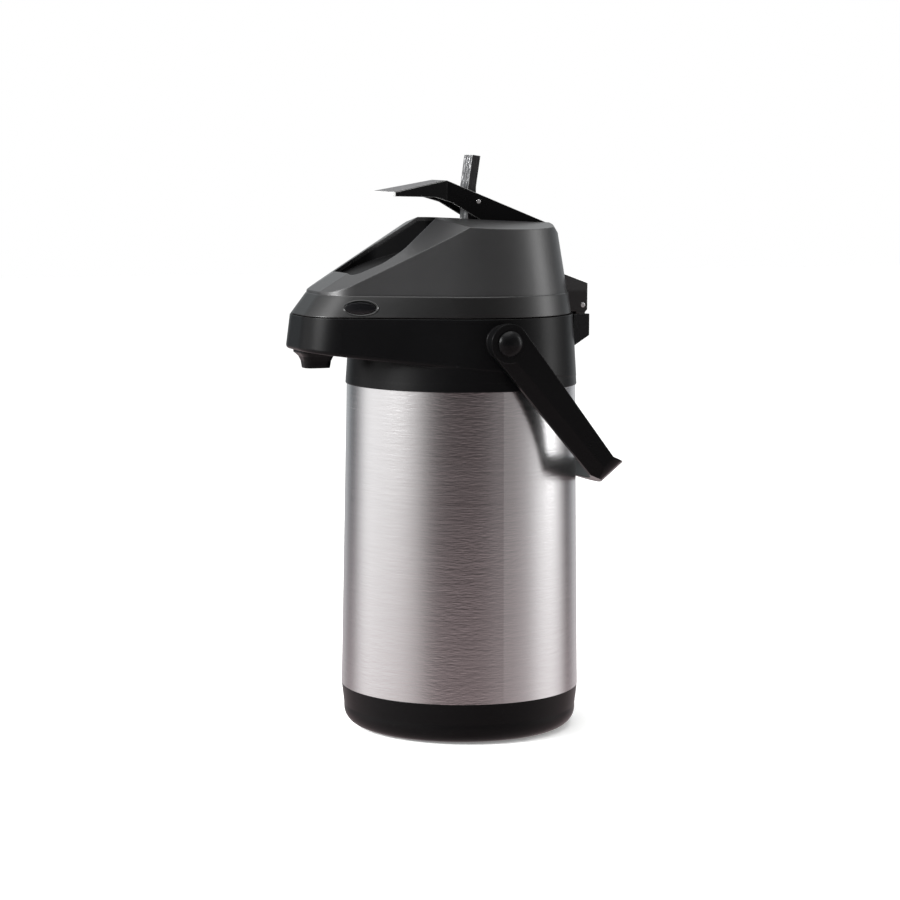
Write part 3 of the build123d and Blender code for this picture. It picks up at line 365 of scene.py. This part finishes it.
def grained_pad(name, base):
    """Pressed pad: close pebbled grain with paler crests, and edges that are worn and lit by a painted
    highlight.
    """
    material, s, principled = new_material(name)
    place = s.place()
    pebbles = s.node("ShaderNodeTexVoronoi", {"feature": "SMOOTH_F1"}, Vector=place, Scale=900.0,
                     Smoothness=0.6)
    grain = s.noise(place, 1100.0, 3.0, 0.6)
    soft, edge_mask = s.edges(0.0006)
    crest = (1.0 - pebbles * 1.4).clamped() * 0.7 + grain * 0.4
    tone = s.mix(crest.step(0.35, 0.95), shade(base, 0.55), shade(base, 2.1))
    # Pale edges of the pad: wear and a painted highlight.
    tone = s.mix(edge_mask * 0.8, tone, rgb([0.5, 0.5, 0.5]))
    return settle(material, s, principled,
                  {"Base Color": tone, "Roughness": 0.42 + (grain - 0.5) * 0.25,
                   "Normal": s.bump(crest, 0.00012, 0.8, soft)}, IOR=1.5)


def rod_with_lit_front(name, base):
    """Black bar whose front face is painted lighter as a lit face, mottled, with nicks whose pale tone is a
    painted glint.
    """
    material, s, principled = new_material(name)
    facing = s.parts(s.node("ShaderNodeTexCoord", out=NORMAL))[1]
    # Painted light: faces turned to the front are lighter than the sides.
    lit_front = (facing * -1.0).step(0.6, 0.9)
    mottle = s.noise(s.stretched((420.0, 420.0, 60.0)), 1.0, 5.0, 0.75)
    nicks_and_glints = s.noise(s.stretched((500.0, 500.0, 130.0)), 1.0, 4.0, 0.8).step(0.55, 0.62)
    soft, edge_mask = s.edges(0.0005)
    lit_face = s.mix(mottle.step(0.35, 0.7), rgb(LIT_FRONT_TONES[0]), rgb(LIT_FRONT_TONES[1]))
    lit_face = s.mix(nicks_and_glints * 0.75, lit_face, rgb(GLINT_TONE))
    tone = s.mix(lit_front, rgb(base), lit_face)
    tone = s.mix(edge_mask * 0.65, tone, rgb([0.6, 0.6, 0.6]))
    return settle(material, s, principled,
                  {"Base Color": tone, "Roughness": 0.36 + (mottle - 0.5) * 0.3,
                   "Normal": s.bump(mottle + nicks_and_glints, 0.00004, 0.7, soft)}, IOR=1.5)


def seal(name, base, clear=0.0):
    """Soft silicone or natural plastic."""
    material, s, principled = new_material(name)
    place = s.place()
    cloud = s.noise(place, 60.0, 3.0, 0.5)
    dust = s.noise(place, 2200.0, 2.0, 0.5)
    soft, _ = s.edges(0.0005)
    tone = s.mix(cloud, shade(base, 0.88), shade(base, 1.08))
    return settle(material, s, principled,
                  {"Base Color": tone, "Roughness": 0.42 + (cloud - 0.5) * 0.2 + (dust - 0.5) * 0.1,
                   "Normal": s.bump(dust, 0.00001, 0.5, soft)}, Subsurface_Weight=clear)


def reopen(material):
    """Shader of a finished material, the socket that takes its tone and the tone fed to it so far."""
    tree = material.node_tree
    slot = tree.nodes["Principled BSDF"].inputs["Base Color"]
    return Shader(tree), slot, Socket(tree, slot.links[0].from_socket)


def lid_graphite_shaded_band(name, base, band_z):
    """Satin lid whose lower band is darkened by painted shade, with a soft boundary."""
    material = moulding(name, base, 0.36, grain_depth=0.000012, grain=1300.0, lift=0.30, cloud=0.08,
                        sheen=0.5)
    s, slot, tone = reopen(material)
    start, end = BAND_SHADE_FADE
    above = s.parts(s.place())[2].step(band_z + start, band_z + end)
    # Painted shade: under the crease the lid's tone drops to a sixth.
    feed(s.tree, slot, s.mix(above, shade(base, 0.16), tone))
    return material


def lever_black_with_painted_highlight(name, base, tip_y):
    """Satin black of the lever, with a painted highlight on its front lip, and edges that are worn and lit by
    a painted highlight.
    """
    material = moulding(name, base, 0.28, grain_depth=0.00001, grain=1300.0, lift=0.6, edge=0.0006,
                        edge_tone=LEVER_EDGE_WEAR_AND_HIGHLIGHT_TONE)
    s, slot, tone = reopen(material)
    start, end = LIP_HIGHLIGHT_FADE
    # Painted highlight on the lever's front lip, streaked by noise.
    lip_highlight = 1.0 - s.parts(s.place())[1].step(tip_y + start, tip_y + end)
    highlight_streaks = s.noise(s.stretched((500.0, 900.0, 900.0)), 1.0, 4.0, 0.7)
    pale = s.mix(highlight_streaks, rgb(LIP_HIGHLIGHT_TONES[0]), rgb(LIP_HIGHLIGHT_TONES[1]))
    feed(s.tree, slot, s.mix(lip_highlight, tone, pale))
    return material


def dress(material, *names):
    """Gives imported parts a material."""
    for name in names:
        mesh = NODES[name].data
        mesh.materials.clear()
        mesh.materials.append(material)


# ---------------------------------------------------------------- mesh helpers
def piece(name, mesh_maker, material, body):
    """Object made by a bmesh function, riding on a body."""
    bm = bmesh.new()
    mesh_maker(bm)
    bmesh.ops.remove_doubles(bm, verts=bm.verts[:], dist=MERGE_DISTANCE)
    bmesh.ops.recalc_face_normals(bm, faces=bm.faces[:])
    mesh = bpy.data.meshes.new(name)
    bm.to_mesh(mesh)
    bm.free()
    mesh.shade_smooth()
    mesh.set_sharp_from_angle(angle=math.radians(CRISP_ANGLE))
    mesh.materials.append(material)
    thing = bpy.data.objects.new(name, mesh)
    bpy.context.scene.collection.objects.link(thing)
    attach(thing, body)
    return thing


def drape_ring(bm, middle, out, rows, surface):
    """Oval ring laid on a surface: each row is (half length, half height, height over the surface)."""
    along = Vector((-out.y, out.x, 0.0))
    loops = []
    for half_length, half_height, proud in rows:
        loop = []
        for step in range(RING_COUNT):
            turn = 2 * math.pi * step / RING_COUNT
            start = middle + along * (half_length * math.cos(turn)) + out * RAY_START
            start.z += half_height * math.sin(turn)
            place, normal, _, _ = surface.ray_cast(start, -out)
            if place is None:
                raise RuntimeError("The ring leaves the lid")
            loop.append(bm.verts.new(place + normal * proud))
        loops.append(loop)
    for inner, outer in zip(loops, loops[1:] + loops[:1]):
        for here in range(RING_COUNT):
            after = (here + 1) % RING_COUNT
            bm.faces.new((inner[here], inner[after], outer[after], outer[here]))


class AIRPOT_OT_body(bpy.types.Operator):
    """Gives the body, the vessel and the base their finishes"""
    bl_idname = "airpot.body"
    bl_label = "Body and base"

    def execute(self, context):
        tones = finish()
        dress(brushed_steel("Body steel", tones.steel), "outer_shell")
        dress(drawn_steel("Vessel steel", VESSEL_TONE, 0.34), "inner_liner")
        dress(moulding("Base black", tones.black, 0.34, lift=0.10), "base_cup")
        dress(moulding("Support grey", SUPPORT_TONE, 0.5), "liner_support")
        dress(moulding("Pad rubber", tones.rubber, 0.72, grain_depth=0.00004, grain=900.0), "base_pad")
        dress(drawn_steel("Screw steel", SCREW_TONE, 0.28), "base_screws", "bracket_screws", "lid_screws")
        return {"FINISHED"}


class AIRPOT_OT_collar(bpy.types.Operator):
    """Gives the collar, the stem and the outlet their finishes"""
    bl_idname = "airpot.collar"
    bl_label = "Collar and outlet"

    def execute(self, context):
        tones = finish()
        dress(moulding("Collar black", tones.black, 0.33, lift=0.16), "shoulder_collar", "spout_nozzle")
        dress(seal("Seal silicone", tones.silicone, 0.1), "neck_gasket", "outlet_seal", "lid_gasket")
        dress(seal("Natural plastic", tones.natural, 0.05), "stem_flange", "stem_tube", "outlet_pipe")
        dress(moulding("Bracket gloss", tones.gloss, 0.12, grain_depth=0.000004, grain=700.0, lift=0.5,
                       cloud=0.05, coat=0.6, coat_rough=0.06), "hinge_bracket")
        dress(drawn_steel("Pin steel", PIN_TONE, 0.2), "hinge_pin", "lever_pin", "cross_pin", "rod_pin")
        return {"FINISHED"}


class AIRPOT_OT_lid(bpy.types.Operator):
    """Gives the lid and the pump in it their finishes"""
    bl_idname = "airpot.lid"
    bl_label = "Lid and pump"

    def execute(self, context):
        tones = finish()
        dress(lid_graphite_shaded_band("Lid graphite", tones.graphite, context.scene.airpot_size.band_top), "lid_cover")
        dress(moulding("Well black", tones.black, 0.5, lift=0.05), "lever_well")
        dress(moulding("Inner grey", INNER_TONE, 0.5), "lid_base", "pressure_plate")
        dress(seal("Bellows silicone", BELLOWS_TONE, 0.1), "bellows", "air_valve")
        dress(drawn_steel("Spring steel", SPRING_TONE, 0.3), "pump_spring", "button_spring_left",
              "button_spring_right")
        return {"FINISHED"}


class AIRPOT_OT_buttons(bpy.types.Operator):
    """Gives the release buttons their finish and sets a thin ring around each"""
    bl_idname = "airpot.buttons"
    bl_label = "Release buttons"

    def execute(self, context):
        tones, sizes = finish(), context.scene.airpot_size
        gloss = moulding("Button gloss", tones.gloss, 0.10, grain_depth=0.000003, grain=700.0, lift=0.35,
                         cloud=0.04, coat=0.8, coat_rough=0.05)
        dress(gloss, "release_button_left", "release_button_right")
        rim = moulding("Button ring", tones.black, 0.2, grain_depth=0.000004, grain=900.0, lift=0.9,
                       edge=0.0004, edge_tone=RING_EDGE_TONE, coat=0.4)
        surface = BVHTree.FromObject(NODES["lid_cover"], context.evaluated_depsgraph_get())
        width, proud = sizes.bezel_width, sizes.bezel_proud
        profile = ((0.0, -RING_SUNK), (RING_SLOPE, proud * 0.7), (width * 0.4, proud),
                   (width * 0.8, proud * 0.6), (width, -RING_SUNK))
        rows = [(sizes.button_length + more, sizes.button_height + more, up) for more, up in profile]
        for side in ("left", "right"):
            out = -Vector(JOINTS["button_" + side + "_press"]["axis"])
            low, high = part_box("release_button_" + side)
            middle = (Vector(low) + Vector(high)) / 2
            piece("button_ring_" + side, lambda bm: drape_ring(bm, middle, out, rows, surface), rim, "lid")
        return {"FINISHED"}


class AIRPOT_OT_lever(bpy.types.Operator):
    """Gives the lever, its pad and the pump rod their finishes"""
    bl_idname = "airpot.lever"
    bl_label = "Lever and rod"

    def execute(self, context):
        tones = finish()
        dress(lever_black_with_painted_highlight("Lever black", tones.black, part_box("lever")[0][1]), "lever")
        dress(grained_pad("Lever pad", tones.grip), "lever_grip")
        dress(rod_with_lit_front("Rod black", ROD_TONE), "pump_rod")
        return {"FINISHED"}


class AIRPOT_OT_handle(bpy.types.Operator):
    """Gives the carrying handle and its knobs their finishes"""
    bl_idname = "airpot.handle"
    bl_label = "Carrying handle"

    def execute(self, context):
        tones = finish()
        dress(moulding("Handle black", tones.black, 0.30, lift=0.12), "carry_handle")
        dress(moulding("Knob black", tones.black, 0.26, lift=0.1), "handle_knob_left", "handle_knob_right")
        return {"FINISHED"}


class AIRPOT_OT_studio(bpy.types.Operator):
    """Builds the floor, the lights and the camera"""
    bl_idname = "airpot.studio"
    bl_label = "Studio"

    def execute(self, context):
        scene = context.scene
        scene.view_settings.view_transform = "Standard"
        self.lay_floor(scene)
        self.light_world(scene)
        self.hang_lights(scene)
        self.set_camera(scene)
        return {"FINISHED"}

    def lay_floor(self, scene):
        """Plain floor with a slight glow of its own, so that it stays white."""
        bm = bmesh.new()
        bmesh.ops.create_grid(bm, x_segments=1, y_segments=1, size=FLOOR_SIZE)
        mesh = bpy.data.meshes.new("studio_floor")
        bm.to_mesh(mesh)
        bm.free()
        material, s, principled = new_material("Floor")
        drift = s.noise(s.place(), 3.0, 2.0, 0.5)
        tone = s.mix(drift, shade(scene.airpot_stage.floor, 0.985), rgb(scene.airpot_stage.floor))
        settle(material, s, principled, {"Base Color": tone}, Roughness=0.85, Emission_Color=FLOOR_GLOW,
               Emission_Strength=FLOOR_GLOW_STRENGTH)
        mesh.materials.append(material)
        floor = bpy.data.objects.new("studio_floor", mesh)
        scene.collection.objects.link(floor)
        floor.visible_glossy = False

    def light_world(self, scene):
        """Pale room with a dark side behind the camera and a bright panel each side."""
        world = bpy.data.worlds.new("Studio")
        world.use_nodes = True
        scene.world = world
        s = Shader(world.node_tree)
        x, y, z = s.parts(s.node("ShaderNodeTexCoord", out=GENERATED))
        turn = math.radians(ROOM_TURN)
        along = x * math.cos(turn) + y * math.sin(turn)
        aside = y * math.cos(turn) - x * math.sin(turn)
        angle = aside.math("ARCTAN2", along) / (2 * math.pi) + 0.5
        stops = [(degrees / 360 + 0.5, [channel / ROOM_STRENGTH for channel in tone])
                 for degrees, *tone in ROOM_TONES]
        around = s.node("ShaderNodeValToRGB", {"stops": stops}, Fac=angle)
        low = (z * -1.0).step(0.06, 0.34)
        tinted = s.mix(low * 0.8, around, rgb(ROOM_LOW_TONE))
        above = z.step(0.25, 0.8)
        tinted = s.mix(above, tinted, rgb(ROOM_WHITE))
        seen = s.node("ShaderNodeLightPath")
        lit = s.mix(seen, tinted, rgb(ROOM_WHITE))
        back = s.tree.nodes["Background"]
        feed(s.tree, back.inputs["Color"], lit)
        back.inputs["Strength"].default_value = ROOM_STRENGTH * scene.airpot_stage.fill

    def hang_lights(self, scene):
        """Area lights that face the airpot's middle."""
        for name, place, size, power in LAMPS:
            light = bpy.data.lights.new(name, "AREA")
            light.shape = "RECTANGLE"
            light.size, light.size_y = size
            light.energy = power
            lamp = bpy.data.objects.new(name, light)
            lamp.location = place
            lamp.rotation_euler = (Vector(place) - Vector(AIM)).to_track_quat("Z", "Y").to_euler()
            scene.collection.objects.link(lamp)

    def set_camera(self, scene):
        """Camera turned about the vertical, then tilted down, then rolled."""
        lens = bpy.data.cameras.new("Camera")
        lens.lens = scene.airpot_stage.lens
        lens.sensor_width = SENSOR_WIDTH
        camera = bpy.data.objects.new("Camera", lens)
        camera.location = CAMERA_PLACE
        turn = Matrix.Rotation(math.radians(CAMERA_TURN), 3, "Z")
        tilt = Matrix.Rotation(math.radians(90.0 - CAMERA_PITCH), 3, "X")
        roll = Matrix.Rotation(math.radians(CAMERA_ROLL), 3, "Z")
        camera.rotation_euler = (turn @ tilt @ roll).to_euler()
        scene.collection.objects.link(camera)
        scene.camera = camera


STEPS = (AIRPOT_OT_body, AIRPOT_OT_collar, AIRPOT_OT_lid, AIRPOT_OT_buttons, AIRPOT_OT_lever,
         AIRPOT_OT_handle, AIRPOT_OT_studio)
GROUPS = (("airpot_finish", AirpotFinish), ("airpot_size", AirpotSize), ("airpot_stage", AirpotStage))


class AIRPOT_PT_panel(bpy.types.Panel):
    """Lists the airpot's operators and values"""
    bl_label = "Lever Airpot"
    bl_idname = "AIRPOT_PT_panel"
    bl_space_type = "VIEW_3D"
    bl_region_type = "UI"
    bl_category = "Airpot"

    def draw(self, context):
        for step in STEPS:
            self.layout.operator(step.bl_idname)
        for attribute, group in GROUPS:
            box = self.layout.box()
            for name in group.__annotations__:
                box.prop(getattr(context.scene, attribute), name)


def register():
    for attribute, group in GROUPS:
        bpy.utils.register_class(group)
        setattr(bpy.types.Scene, attribute, PointerProperty(type=group))
    for cls in (*STEPS, AIRPOT_PT_panel):
        bpy.utils.register_class(cls)


def unregister():
    for cls in reversed((*STEPS, AIRPOT_PT_panel)):
        bpy.utils.unregister_class(cls)
    for attribute, group in GROUPS:
        delattr(bpy.types.Scene, attribute)
        bpy.utils.unregister_class(group)


def main():
    register()
    for step in STEPS:
        area, name = step.bl_idname.split(".")
        getattr(getattr(bpy.ops, area), name)()


if __name__ == "__main__":
    main()
